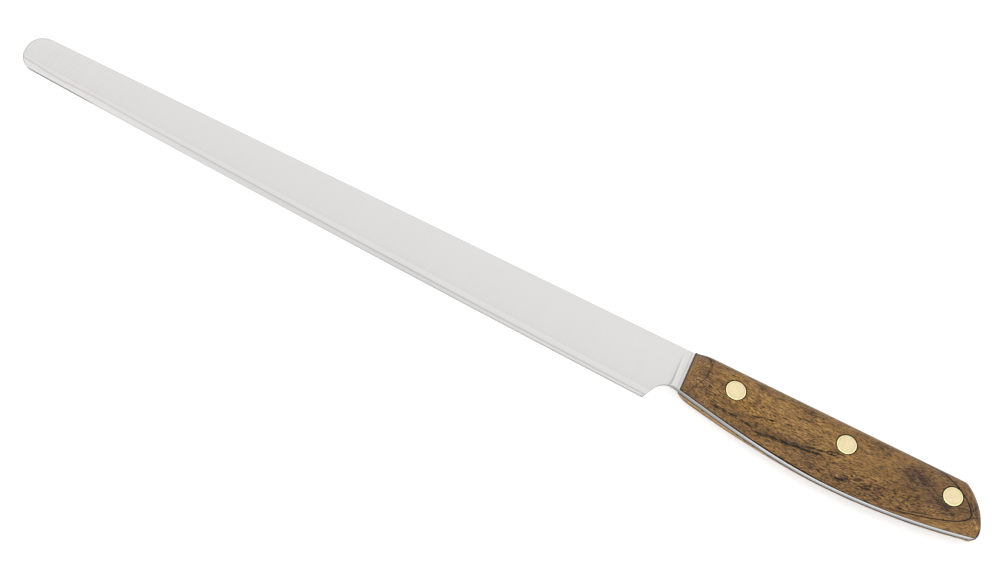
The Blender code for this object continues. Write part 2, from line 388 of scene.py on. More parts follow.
def scale_patches(side):
    """Patches of one scale, for side 1 the front and -1 the back.

    Outside: at each station the upper rounding, the land and the lower rounding, under a crown that
    falls as quarter circles at the front and the butt. Inside: the same places, level at the glue.
    """
    front = quarter_places(0, front_round, 26)
    butt = quarter_places(handle_length, -butt_round, 34)
    middle = spread(front_round, wall_fall, 82), spread(wall_fall, handle_length - butt_round, 20)
    x = in_order(front, *middle, butt)[:, None]
    top, bottom = upper_depth(x), belly_line(x, front_corner if side > 0 else tang_corner)
    from_butt = handle_length - x
    share = np.minimum(quarter_height(x / front_round), quarter_height(from_butt / butt_round))
    crown = end_height + (handle_half - wood_below_heads - end_height) * share
    slope = lower_round_slope
    at_front, at_belly = (lower_round_front, slope), (lower_round_belly, slope)
    lower = along_handle(x, at_front, at_belly, (lower_round_rear, 0.0))
    shrink = np.minimum(1, (bottom - top - least_land) / (upper_round + lower))
    fallen = np.clip((x - wall_fall) / (handle_length - wall_fall), 0, 1)
    wall = wall_height - (wall_height - butt_wall_height) * fallen
    turns = spread(0, 1, 19)
    up_out, up_drop = rounding(upper_round * shrink, crown - wall, turns[::-1])
    low_out, low_drop = rounding(lower * shrink, crown - wall, turns)
    upper_edge, lower_edge = top + upper_round * shrink, bottom - lower * shrink
    land = upper_edge + (lower_edge - upper_edge) * spread(0, 1, 12)[1:-1]
    depth = np.concatenate((top, upper_edge - up_out, land, lower_edge + low_out, bottom), 1)
    height = np.concatenate((wall, crown - up_drop, 0 * land + crown, crown - low_drop, wall), 1)
    depth, height = depth[:, 1:-1], height[:, 1:-1]
    inner = 0 * height + tang_half + glue_line
    outside, inside = grid(x, depth, side * height), grid(x, depth, side * inner)
    seams = [(outside[:, end], inside[:, end]) for end in (0, -1)]
    seams += [(outside[end], inside[end]) for end in (0, -1)]
    return [outside, inside] + [np.stack(seam, 1) for seam in seams]


def turned_patch(profile, x, steps=96):
    """Solid turned about the rivet's axis: (radius, z) points carried round a full circle."""
    radius, z = np.array(profile, float).T
    angle = spread(0, 2 * np.pi, steps + 1)[:, None]
    angle[-1] = 0
    return [grid(x + radius * np.cos(angle), rivet_depth + radius * np.sin(angle), z)]


def head_profile():
    """From the middle of the head's face, over its rounded rim, down to its foot."""
    turns = spread(0, np.pi / 2, 7)
    radii = head_radius - head_rim * (1 - np.sin(turns))
    rim = zip(radii, handle_half - head_rim_drop * (1 - np.cos(turns)))
    face = [(radius, handle_half) for radius in (0, 1.2, 2.4)]
    return [*face, *rim, (head_radius, handle_half - head_thickness)]


def post_profile():
    """The half that shows on the front: a head on a solid post."""
    foot, end = handle_half - head_thickness, -(handle_half - sleeve_floor - press_gap)
    return head_profile() + [(post_radius, foot), (post_radius, end), (0, end)]


def sleeve_profile():
    """The half that shows on the back, drawn head down: a head on a bored sleeve."""
    foot = handle_half - head_thickness
    bore = post_radius + press_gap
    up = [(sleeve_radius, foot), (sleeve_radius, press_gap - foot), (bore, press_gap - foot)]
    floor = handle_half - sleeve_floor
    profile = head_profile() + up + [(bore, floor), (0, floor)]
    return [(radius, -z) for radius, z in profile]


def hole_profile():
    """The hole through tang and scales, with a seat for the head on each side."""
    beyond, floor = handle_half + 1, handle_half - head_thickness - press_gap
    seat, shank = head_radius + seat_gap, sleeve_radius + press_gap
    upper = [(0, beyond), (seat, beyond), (seat, floor), (shank, floor)]
    return upper + [(radius, -z) for radius, z in reversed(upper)]


def drill(piece, cutters):
    """Takes the rivets' holes out of a piece and keeps the result as its mesh."""
    for cutter in cutters:
        cut = piece.modifiers.new("Drill", "BOOLEAN")
        cut.operation, cut.solver, cut.object = "DIFFERENCE", "EXACT", cutter
    bpy.context.view_layer.update()
    evaluated = piece.evaluated_get(bpy.context.evaluated_depsgraph_get())
    plain = piece.data
    piece.data = bpy.data.meshes.new_from_object(evaluated)
    piece.modifiers.clear()
    bpy.data.meshes.remove(plain)
    piece.data.name = piece.name


def smooth(mesh, angle):
    """Shades a mesh smooth, but for edges that turn by more than an angle in degrees."""
    mesh.shade_smooth()
    mesh.set_sharp_from_angle(angle=np.radians(angle))


def vertex_points(mesh):
    """The (x, depth, z) millimetres of a mesh's vertices."""
    points = np.empty(len(mesh.vertices) * 3, np.float32)
    mesh.vertices.foreach_get("co", points)
    return drawn(points.reshape(-1, 3).astype(float))


def crease_facets(mesh):
    """Marks the ground facets' borders as sharp: edges whose two ends lie on one of those lines."""
    x, depth, _ = vertex_points(mesh).T
    ends = np.empty(len(mesh.edges) * 2, np.int32)
    mesh.edges.foreach_get("vertices", ends)
    sharp = np.empty(len(mesh.edges), bool)
    mesh.edges.foreach_get("use_edge_sharp", sharp)
    for line in (grind_end(x), bevel_top(x), bevel_top(x) + burr_width):
        on_line = (np.abs(depth - line) < 0.01) & (x < plunge_place)
        sharp |= on_line[ends].reshape(-1, 2).all(1)
    mesh.edges.foreach_set("use_edge_sharp", sharp)


def store(mesh, name, *columns):
    """Keeps three numbers for each vertex under a name that the materials read."""
    values = np.stack(np.broadcast_arrays(*columns), -1).astype(np.float32)
    mesh.attributes.new(name, "FLOAT_VECTOR", "POINT").data.foreach_set("vector", values.ravel())


def map_steel(mesh):
    """The UV map runs along the knife and across it, and gives the grinding its direction. "ground"
    holds the millimetres below the edge bevel's top and above the edge, and the share of the way
    from the flat grind's end to that bevel. "reach" holds the millimetres behind the plunge and in
    front of the scales, and the share of the thickness, from -1 at the back to 1 at the front.
    "outline" holds the millimetres in from the spine, from the tip's rounding and from the choil.
    "belt" follows the grinding lines, which lean forward towards the tip."""
    x, depth, z = vertex_points(mesh).T
    corners = np.empty(len(mesh.loops), np.int32)
    mesh.loops.foreach_get("vertex_index", corners)
    flat = np.stack((x + 0.37 * z, depth + 0.61 * z), -1)[corners] / 100
    mesh.uv_layers.new(name="grinding").data.foreach_set("uv", flat.astype(np.float32).ravel())
    store(mesh, "drawn", x, depth, z)
    lean = np.interp(x, (-170, -70), (0.20, 0.04))
    store(mesh, "belt", x + lean * depth, depth, z)
    share = (depth - grind_end(x)) / (bevel_top(x) - grind_end(x))
    store(mesh, "ground", depth - bevel_top(x), edge_depth(x) - depth, share)
    through = z / steel_half(x, np.minimum(depth, edge_depth(x)))
    store(mesh, "reach", x - plunge_line(depth), -x, through)
    upper_arc = tip_upper_radius - np.hypot(x - tip_x - tip_upper_radius, depth - tip_upper_radius)
    lower_arc = tip_edge_radius - np.hypot(x - tip_x - tip_edge_radius, depth - tip_edge_centre)
    at_arcs = [depth < tip_upper_radius, depth > tip_edge_centre]
    from_tip = np.select(at_arcs, [upper_arc, lower_arc], x - tip_x)
    arc_end = tip_x + np.where(depth < 8, tip_upper_radius, tip_edge_radius)
    from_tip = np.where(x < arc_end, from_tip, 9.0)
    from_arc = np.hypot(x - choil_end, depth - ricasso_depth - choil_radius) - choil_radius
    from_heel = edge_depth(heel_x) - depth - (x - heel_x) * np.tan(choil_angle)
    from_sides = [lower_depth(x) - depth, from_heel * np.cos(choil_angle)]
    from_choil = np.select([x > choil_end, depth > choil_top], from_sides, from_arc)
    store(mesh, "outline", depth, from_tip, from_choil)


def map_brass(mesh, rivet_x):
    """"turned" holds the radius from the rivet's axis and the place on it, in millimetres."""
    x, depth, z = vertex_points(mesh).T
    store(mesh, "turned", np.hypot(x - rivet_x, depth - rivet_depth), z, 0)


def butt_distance(x, depth):
    """Distance from the butt's arc, or from its face below the arc's end."""
    slope = (butt_depth(x + 0.01) - butt_depth(x - 0.01)) / 0.02
    from_arc = np.where(x > butt_start - 10, (depth - butt_depth(x)) / np.hypot(1, slope), 99)
    return np.minimum(from_arc, handle_length - x)


# Soft zones of the wood: place, depth, half length, half width, how much paler or darker, and how
# much warmer or greyer the wood is there. The greyer band along the top at 40 and the greyer zone
# low near the butt at 98 are a painted sheen, and the two small bright zones at 114.5 and 116.2
# are painted glints
wood_tone_sheen_and_glint_zones = (
    (26, 7, 22, 8, 0.10, 0.1), (50, 10, 24, 8, 0.07, 0.0), (74, 8, 14, 7, 0.09, -0.1),
    (58, 16.5, 8, 3, 0.10, 0.1), (27, 4, 7, 4, -0.20, -0.2), (45, 4, 8, 4, -0.08, 0.0),
    (74, 5, 6, 5, -0.26, -0.2), (84, 5.5, 5, 4, 0.10, 0.0), (88, 9, 10, 6, -0.32, -0.7),
    (94, 11, 5, 4, -0.24, -0.5), (103, 15.5, 6, 3.5, -0.30, -0.3), (65, 14.5, 5, 2.5, 0.18, 0.4),
    (5, 3, 12, 6, -0.10, -0.7), (6, 12, 7, 8, -0.14, -0.7), (17, 15, 7, 3, -0.22, 0.0),
    (24, 14, 6, 3, 0.04, 0.9), (10, 17.5, 22, 4, -0.12, 0.2), (28, 20, 18, 4, -0.22, 0.3),
    (33, 16, 8, 2.5, 0.04, 0.9), (62, 22.5, 36, 5, -0.20, -0.1), (46, 18.6, 9, 2.0, -0.14, -0.7),
    (78, 20, 14, 4, -0.14, 0.3), (92, 17, 9, 4, -0.14, 0.2), (98, 16.8, 8, 2.5, 0.0, -0.5),
    (40, 1.5, 60, 4, 0.0, -0.5), (95, 4, 20, 4, -0.05, -0.6), (21, 15, 10, 6, 0.04, 0.5),
    (113.5, 9.5, 5, 8, -0.20, -0.7), (114.5, 15.0, 1.2, 0.5, 0.8, 0.4),
    (116.2, 16.1, 1.0, 0.5, 0.9, 0.4), (99, 13.2, 5, 3, -0.14, -0.4),
    (108.4, 13.4, 4, 3, -0.14, -0.4), (88, 14, 6, 4, -0.09, 0.0), (100, 8, 18, 10, -0.12, -0.5),
    (76, 4, 16, 7, -0.08, 0.0), (96, 15, 22, 5, -0.15, -0.2), (46, 19, 24, 4, -0.13, 0.0),
    (88, 19.5, 14, 4, -0.16, 0.0), (112, 13, 8, 6, -0.14, -0.2),
)


def zone_sums(x, depth):
    """The zones' amounts and warmths, each faded as a smoothstep from its middle to its border."""
    places, depths, lengths, widths, amounts, warmths = np.array(wood_tone_sheen_and_glint_zones, float).T
    out = np.hypot((x[:, None] - places) / lengths, (depth[:, None] - depths) / widths)
    inside = np.clip(1 - out, 0, 1)
    shares = inside**2 * (3 - 2 * inside)
    return shares @ amounts, 0.5 + shares @ warmths / 2


def ring_drop(depth):
    """How far the butt's growth ring lies in front of its apex at a depth: a parabola with a blunt
    top above the apex, which ends along the spine, and a slightly flatter power curve below it."""
    below = depth - ring_depth
    upper_arm = 0.107 * below**2 + 0.6 * (1 - np.exp(-(below**2) / 4))
    along_spine = 40 * np.clip(2.9 - depth, 0, None) ** 2
    return np.where(below < 0, upper_arm + along_spine, 0.474 * np.abs(below) ** 1.845)


def map_wood(mesh, side):
    """What the wood's pattern follows, in millimetres. The back scale's marks lie a little further
    on than the front's.

    "drawn" is the drawing's own place. "grain" is along, across and through: across is the depth,
    squeezed where the handle narrows, with one gentle rise in the middle. "outer_grain" is the same
    beyond the butt's growth ring, where the grain turns to follow that ring. "rings" is the
    distance from the butt's ring, stretched where the ring thins below its apex, from the front's
    ring and from the nearest rivet's seat, round which shade is painted. "border" is the height
    above the tang, for the front scale and then for the back scale, along which shade is painted,
    and the way up from the back scale's lower outline, where light is painted. The front's height
    is stretched towards both ends, where its line of painted shade thins. "ends" is the distance
    from the butt's outline, and on the back scale the height above the tang, which counts as none
    on its face and sets where shade is painted below the back scale's painted light. "zones" is how
    much paler the wood is, with a painted sheen and painted glints among them, and its warmth
    between 0 and 1.
    """
    x, depth, z = vertex_points(mesh).T
    shift = 0.0 if side > 0 else 5.0
    squeeze = (belly_depth / belly_line(x)) ** np.where(x < belly_place, 0.6, 1.5)
    rise = 3.0 * np.tanh((x - 57 + shift) / 12) * np.exp(-(((depth - 16) / 4.5) ** 2))
    steepness = np.hypot(1, (ring_drop(depth + 0.01) - ring_drop(depth - 0.01)) / 0.02)
    butt_ring = (x - shift + ring_drop(depth) - ring_apex) / steepness
    front_ring = x + shift / 2 + 0.05 * (depth - 8) ** 2 - front_ring_place
    front_ring /= np.hypot(1, 0.1 * (depth - 8))
    seats = [np.hypot(x - rivet_x, depth - rivet_depth) for rivet_x in rivet_places.values()]
    store(mesh, "drawn", x - shift, depth + shift / 5, z)
    store(mesh, "grain", x, depth * squeeze + rise, z)
    store(mesh, "outer_grain", 1.1 * (depth - 40), butt_ring + 60, z)
    thinner = 1 + 0.8 * np.clip((depth - ring_depth) / 3, 0, 1)
    store(mesh, "rings", butt_ring * thinner, front_ring, np.min(seats, 0) - head_radius - seat_gap)
    height = np.abs(z) - tang_half
    if side > 0:
        thinned = np.interp(x, (8, 30, 45, 60, 75, 92), (0.75, 0.9, 1.0, 0.75, 0.5, 0.3))
        store(mesh, "border", height / thinned, 99, 99)
    else:
        store(mesh, "border", 99, height, belly_line(x) - depth)
    shaded = np.interp(height, (0, 2.6, 3.4, 5.0), (0, 2.6, 2.6, 0))
    store(mesh, "ends", butt_distance(x, depth), shaded if side < 0 else 0, 0)
    paler, warmer = zone_sums(x - shift, depth + shift / 5)
    store(mesh, "zones", paler, warmer - (0.0 if side > 0 else 0.45), 0)


def colour(code):
    """Linear colour of an sRGB hex code."""
    s = np.array([int(code[i : i + 2], 16) for i in (0, 2, 4)]) / 255
    return (*np.where(s <= 0.04045, s / 12.92, ((s + 0.055) / 1.055) ** 2.4).tolist(), 1.0)


def connect(tree, node, sockets):
    """Gives a node's sockets, by name or number, a value or the output of another node: its first
    where only the node is given."""
    for name, value in dict(sockets).items():
        if isinstance(value, bpy.types.Node):
            value = value.outputs[0]
        if isinstance(value, bpy.types.NodeSocket):
            tree.links.new(value, node.inputs[name])
        else:
            node.inputs[name].default_value = value


def add(tree, kind, sockets=(), stops=(), **settings):
    """Adds a shader node, with its sockets connected. Settings are its properties. Stops are a
    colour ramp's places, each with a hex code or a grey."""
    node = tree.nodes.new("ShaderNode" + kind)
    for name, value in settings.items():
        setattr(node, name, value)
    connect(tree, node, sockets)
    for i, (at, tone) in enumerate(stops):
        element = node.color_ramp.elements[i] if i < 2 else node.color_ramp.elements.new(at)
        element.position = at
        element.color = colour(tone) if isinstance(tone, str) else (tone, tone, tone, 1)
    return node


soft = {"interpolation_type": "SMOOTHSTEP"}  # for a Map Range whose ends are eased


def new_material(name):
    """A material with its node tree and its shader."""
    made = bpy.data.materials.new(name)
    made.use_nodes = True
    return made, made.node_tree, made.node_tree.nodes["Principled BSDF"]


# Stainless steel, ground flat across the blade on a belt: a soft pale sheen, fine upright lines.
# The real lines are 0.02 mm apart and are drawn 0.77 mm apart, so that they show.
steel, tree, shader = new_material("ground_stainless_steel")
drawn_at = add(tree, "Attribute", attribute_name="drawn").outputs["Vector"]
far = add(tree, "SeparateXYZ", {0: drawn_at}).outputs["X"]
ground, reach, outline = (
    add(tree, "SeparateXYZ", {0: add(tree, "Attribute", attribute_name=name).outputs["Vector"]})
    for name in ("ground", "reach", "outline")
)
normal = add(tree, "NewGeometry").outputs["Normal"]
up = add(tree, "SeparateXYZ", {0: normal}).outputs["Z"]
up = add(tree, "Math", {0: up}, operation="ABSOLUTE")
rim = add(tree, "MapRange", {0: up, 1: 0.90, 2: 0.55}, **soft)
face = add(tree, "Math", {0: 1.0, 1: rim}, operation="SUBTRACT")
belt = add(tree, "Attribute", attribute_name="belt").outputs["Vector"]
upright = add(tree, "Mapping", {"Vector": belt, "Scale": (1 / 0.36, 1 / 24, 1 / 24)})
lengthwise = add(tree, "Mapping", {"Vector": drawn_at, "Scale": (1 / 14, 1 / 0.35, 1 / 0.18)})
brushed = add(tree, "Mix", {0: rim, 4: upright, 5: lengthwise}, data_type="VECTOR")
lines = add(
    tree, "TexNoise", {"Vector": brushed.outputs[1], "Scale": 1.0, "Detail": 1.0, "Roughness": 0.5}
)
regular = add(tree, "Mapping", {"Vector": belt, "Scale": (0.314 / 0.77, 1 / 60, 1 / 60)})
regular = add(tree, "TexWave", {"Vector": regular, "Scale": 1.0, "Distortion": 2.2, "Detail": 1.0})
even = add(tree, "MapRange", {0: up, 1: 0.90, 2: 0.55, 3: 0.45, 4: 0.0})
lines = add(tree, "Mix", {0: even, 2: lines, 3: regular.outputs["Fac"]}, data_type="FLOAT")

# How strongly the lines show along the knife, and how clear the edge is: most at the tip
shows = []
at = add(tree, "MapRange", {0: far, 1: tip_x, 2: 0.0})
for values in (
    (
        (-261, 0.34), (-242, 0.24), (-225, 0.14), (-205, 0.075), (-150, 0.07), (-130, 0.10),
        (-50, 0.085), (-15, 0.12),
    ),
    (
        (-261, 0.70), (-236, 0.66), (-229, 0.24), (-190, 0.05), (-160, 0.05), (-106, 0.25),
        (-34, 0.38),
    ),
):
    stops = [(1 - mm / tip_x, value) for mm, value in values]
    shows.append(add(tree, "ValToRGB", {0: at}, stops))
show_lines = add(tree, "Mix", {0: rim, 2: shows[0], 3: 0.3}, data_type="FLOAT")
level = add(tree, "Math", {0: lines, 1: 0.5}, operation="SUBTRACT")
level = add(tree, "Math", {0: level, 1: show_lines, 2: 1.0}, operation="MULTIPLY_ADD")

# Tones as (place, tone) along these distances, and how much of each shows: from the flat grind's
# end to the edge bevel, below that bevel's top with its dark line, the bevel itself along the
# blade, a dark line along the edge with a paler band above it, behind the plunge with painted
# shade in its hollow and a painted highlight on its rise, which fade towards the spine, a painted
# highlight on the strip before the scales with a darker line in front of it, painted reflection
# and shade on the rims along the handle, darkest just in front of the scales as a painted shadow,
# and painted shade along the eased spine, tip and choil, with a painted highlight inside the choil
below = add(tree, "MapRange", {0: ground.outputs[0], 1: -0.35, 2: 0.0})
deep = add(tree, "MapRange", {0: outline.outputs[0], 1: 0.5, 2: 12.5})
for distance, shown, tones in (
    (ground.outputs[2], 1.0, (
        (-6.0, 1.02), (-1.5, 1.0), (-0.4, 0.985), (0.0, 0.955), (0.22, 1.03), (0.6, 1.02),
        (1.0, 1.0),
    )),
    (ground.outputs[0], 1.0, (
        (-0.6, 1.0), (-0.15, 0.97), (0.1, 0.79), (0.32, 0.87), (0.55, 1.05), (1.0, 1.05)
    )),
    (far, below, (
        (tip_x, 1.0), (-248, 1.0), (-230, 1.02), (-177, 0.92), (-106, 0.885), (-34, 0.945),
        (-11, 0.96),
    )),
    (ground.outputs[1], shows[1], (
        (0.0, 0.0), (0.32, 0.10), (0.60, 0.97), (0.85, 1.08), (1.4, 1.0)
    )),
    (reach.outputs[0], deep, (
        (-1.5, 1.0), (-0.5, 0.96), (0.1, 0.60), (0.32, 0.86), (0.5, 1.22), (0.85, 1.06), (2.5, 1.02)
    )),
    (reach.outputs[1], face, (
        (0.0, 1.10), (0.3, 1.26), (0.55, 1.16), (0.75, 0.90), (1.0, 0.84), (1.4, 1.0)
    )),
    (far, rim, (
        (-6.0, 1.0), (-2.5, 0.92), (-0.8, 0.76), (3.0, 0.88), (16.0, 0.97), (30.0, 0.99),
        (50.0, 0.93), (handle_length, 0.90),
    )),
    (outline.outputs[0], 1.0, ((0.0, 0.90), (0.15, 0.92), (0.5, 1.0))),
    (outline.outputs[1], 1.0, ((0.0, 0.62), (0.16, 0.74), (0.42, 1.0))),
    (outline.outputs[2], 1.0, (
        (0.0, 0.84), (0.20, 0.96), (0.38, 1.03), (0.65, 1.0), (0.85, 0.97), (1.2, 1.0)
    )),
):
    start, end = tones[0][0], tones[-1][0]
    at = add(tree, "MapRange", {0: distance, 1: start, 2: end})
    stops = [((mm - start) / (end - start), tone / 2) for mm, tone in tones]
    tones = add(tree, "ValToRGB", {0: at}, stops)
    tones = add(tree, "Math", {0: tones, 1: 2.0}, operation="MULTIPLY")
    tones = add(tree, "Mix", {0: shown, 2: 1.0, 3: tones}, data_type="FLOAT")
    level = add(tree, "Math", {0: level, 1: tones}, operation="MULTIPLY")

# The rims are left from blanking and only brushed along. Their colour is partly a duller finish and
# partly painted reflection and shade: darker than the faces, paler towards the upper corner, which
# faces the light, and in front of the handle's middle a more even, darker grey.
across = add(tree, "MapRange", {0: reach.outputs[2], 1: -1.0, 2: 1.0})
rims = []
for stops in (
    (
        (0.0, "6A6660"), (0.12, "8A8783"), (0.28, "A3A29F"), (0.50, "AAAAA9"), (0.68, "B4B4B3"),
        (0.85, "C2C2C0"), (1.0, "D0D0CE"),
    ),
    (
        (0.0, "6C6C6C"), (0.12, "8C8D8E"), (0.28, "A2A4A8"), (0.50, "BCBEC2"), (0.68, "DADCDF"),
        (1.0, "F2F2F0"),
    ),
):
    rims.append(add(tree, "ValToRGB", {0: across}, stops))
middle = add(tree, "MapRange", {0: far, 1: 18.0, 2: 36.0}, **soft)
edges = add(tree, "Mix", {0: middle, 6: rims[0], 7: rims[1]}, data_type="RGBA").outputs[2]
tint = add(tree, "Mix", {0: rim, 6: colour("DEDCDA"), 7: edges}, data_type="RGBA")
toned = add(tree, "VectorMath", {0: tint.outputs[2], 3: level}, operation="SCALE")
rough = add(tree, "Math", {0: lines, 1: 0.12, 2: 0.26}, operation="MULTIPLY_ADD")
bump = add(tree, "Bump", {"Strength": 0.15, "Distance": 0.00002, "Height": lines})
connect(tree, shader, {"Base Color": toned, "Metallic": 1.0, "Roughness": rough, "Normal": bump})
tangent = add(tree, "Tangent", direction_type="UV_MAP", uv_map="grinding")
connect(tree, shader, {"Anisotropic": 0.5, "Tangent": tangent})

# Walnut-brown hardwood, sanded round and oiled: golden fibres and dark pores along the grain, a few
# black streaks, end grain as speckle on both ends, and an oiled, softly glossy skin
wood, tree, shader = new_material("oiled_hardwood")
drawn_at, grain, outer, *marks = (
    add(tree, "Attribute", attribute_name=name).outputs["Vector"]
    for name in ("drawn", "grain", "outer_grain", "rings", "zones", "border", "ends")
)
rings, zones, border, ends = (add(tree, "SeparateXYZ", {0: mark}) for mark in marks)
outside = add(tree, "Math", {0: rings.outputs[0], 1: 0.0}, operation="GREATER_THAN")
fibres = add(tree, "Mix", {0: outside, 4: grain, 5: outer}, data_type="VECTOR").outputs[1]
sway = add(tree, "Mapping", {"Vector": fibres, "Scale": (1 / 11, 1 / 5, 1 / 5)})
sway = add(tree, "TexNoise", {"Vector": sway, "Scale": 1.0, "Detail": 1.0})
sway = add(tree, "VectorMath", {0: sway.outputs[1], 1: (0.5, 0.5, 0.5)}, operation="SUBTRACT")
fibres = add(tree, "VectorMath", {0: sway, 1: (0, 1.3, 1.3), 2: fibres}, operation="MULTIPLY_ADD")

# Growth bands, fibres and pores as noise this long, this wide and this strong, with their detail.
# They are calmer towards the butt.
layers = ((30, 3.2, 0.36, 2), (8, 1.1, 0.24, 2), (3.4, 0.29, 1.40, 1), (1.2, 0.20, 1.90, 2))
grainy = -0.5 * sum(strength for _, _, strength, _ in layers)
for length, width, strength, detail in layers:
    at = add(tree, "Mapping", {"Vector": fibres, "Scale": (1 / length, 1 / width, 1 / width)})
    noise = add(tree, "TexNoise", {"Vector": at, "Scale": 1.0, "Detail": detail, "Roughness": 0.55})
    grainy = add(tree, "Math", {0: noise, 1: strength, 2: grainy}, operation="MULTIPLY_ADD")
sockets = {"Vector": fibres, "Scale": (1 / 1.6, 1 / 0.24, 1 / 0.24), "Location": (7, 3, 5)}
at = add(tree, "Mapping", sockets)
pores = add(tree, "TexNoise", {"Vector": at, "Scale": 1.0, "Detail": 1.0})
pore = add(tree, "MapRange", {0: pores, 1: 0.57, 2: 0.68, 4: -0.70}, **soft)
grainy = add(tree, "Math", {0: grainy, 1: pore}, operation="ADD")
far = add(tree, "SeparateXYZ", {0: drawn_at}).outputs["X"]
calm = add(tree, "MapRange", {0: far, 1: 55.0, 2: 92.0, 3: 1.0, 4: 0.72})
tone = add(tree, "Math", {0: grainy, 1: calm, 2: 0.67}, operation="MULTIPLY_ADD")

# Soft zones, paler or darker and warmer or greyer, with a painted sheen and painted glints among
# them, broken up by the pores
uneven = add(tree, "Math", {0: pores, 1: 2.6, 2: -0.3}, operation="MULTIPLY_ADD")
tone = add(tree, "Math", {0: zones.outputs[0], 1: uneven, 2: tone}, operation="MULTIPLY_ADD")
warmth = zones.outputs[1]

# On the back scale, painted light makes the lower side paler where it faces the light, and painted
# shade darkens it below that; along the butt's outline the wood is darker
paler = add(tree, "MapRange", {0: border.outputs[2], 1: 2.2, 2: 0.6, 4: 0.44}, **soft)
under = add(tree, "MapRange", {0: ends.outputs[1], 1: 1.3, 2: 2.2, 4: -0.50}, **soft)
darker_butt_outline = add(tree, "MapRange", {0: ends.outputs[0], 1: 1.1, 2: 0.3, 4: -0.30}, **soft)
for change in (paler, under, darker_butt_outline):
    tone = add(tree, "Math", {0: tone, 1: change}, operation="ADD")

browns = (
    (0.0, "33281F"), (0.22, "443224"), (0.41, "6A4E30"), (0.52, "7F5D38"), (0.64, "8E693D"),
    (0.80, "99723F"), (1.0, "AF864B"), (1.4, "D2A86C"),
)
at = add(tree, "Math", {0: tone, 1: 1 / 1.4}, operation="MULTIPLY")
body = add(tree, "ValToRGB", {0: at}, [(amount / 1.4, code) for amount, code in browns])
sockets = {0: warmth, 6: (0.99, 1.08, 1.54, 1), 7: (1.09, 1.08, 0.90, 1)}
hue = add(tree, "Mix", sockets, data_type="RGBA").outputs[2]
sockets = {0: 1.0, 6: body, 7: hue}
body = add(tree, "Mix", sockets, data_type="RGBA", blend_type="MULTIPLY").outputs[2]

# The butt's growth ring, which fades towards the belly, and the fainter one at the front
for ring, reach, fade in (
    (rings.outputs[0], 0.48, (76.0, 92.0, 1.0)), (rings.outputs[1], 0.5, (-1.0, 3.0, 0.40))
):
    start, full, strength = fade
    waved = add(tree, "Math", {0: sway, 1: 0.5, 2: ring}, operation="MULTIPLY_ADD")
    off = add(tree, "Math", {0: waved}, operation="ABSOLUTE")
    fading = add(tree, "MapRange", {0: far, 1: start, 2: full, 4: strength})
    mark = add(tree, "MapRange", {0: off, 1: reach, 2: 0.1, 4: fading}, **soft)
    body = add(tree, "Mix", {0: mark, 6: body, 7: colour("201F1E")}, data_type="RGBA").outputs[2]

